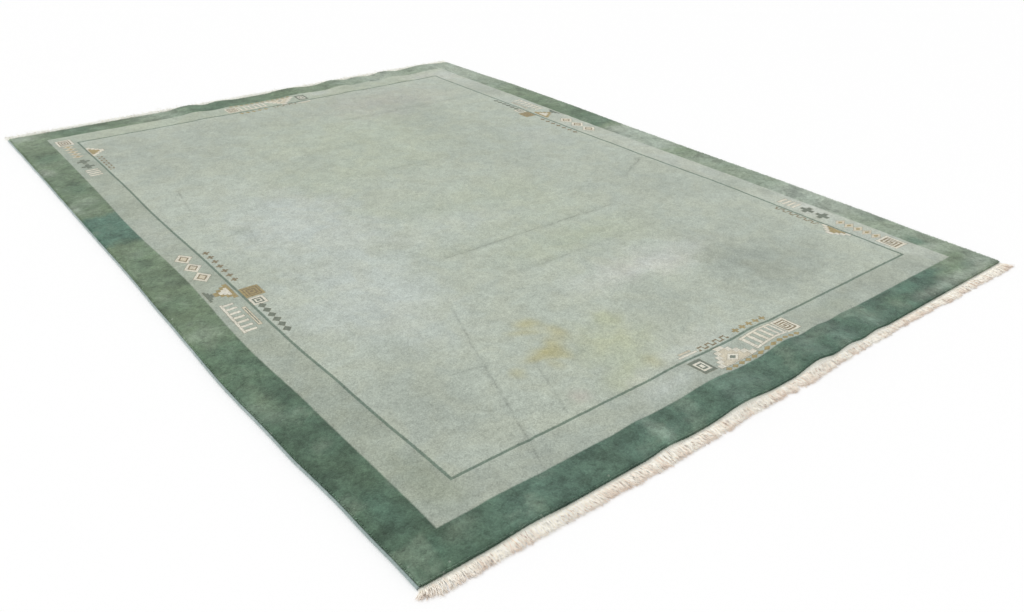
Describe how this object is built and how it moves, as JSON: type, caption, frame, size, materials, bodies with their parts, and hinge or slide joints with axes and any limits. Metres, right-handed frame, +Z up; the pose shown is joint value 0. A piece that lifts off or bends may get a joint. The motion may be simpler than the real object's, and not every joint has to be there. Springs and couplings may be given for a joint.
{
  "type": "nepalese pile rug",
  "caption": "Large rectangular hand-knotted wool rug lying flat, slightly rippled at its ends, with overcast side cords and a short cotton fringe at both ends.",
  "frame": {"origin": "middle of the rug's outer box, on the floor under it", "axes": "+X across the rug, +Y along it towards the far fringed end, +Z up"},
  "size_m": [2.503, 3.5, 0.0303],
  "materials": {
    "pile_wool": "soft sheared wool pile, pale celadon field in a dark green border",
    "selvedge_wool": "overcast wool, matt",
    "warp_cotton": "undyed cotton warp, matt"
  },
  "bodies": {
    "root": {"pile_rug": "pile_wool", "selvedge_left": "selvedge_wool", "selvedge_right": "selvedge_wool", "fringe_near": "warp_cotton", "fringe_far": "warp_cotton"}
  },
  "joints": []
}
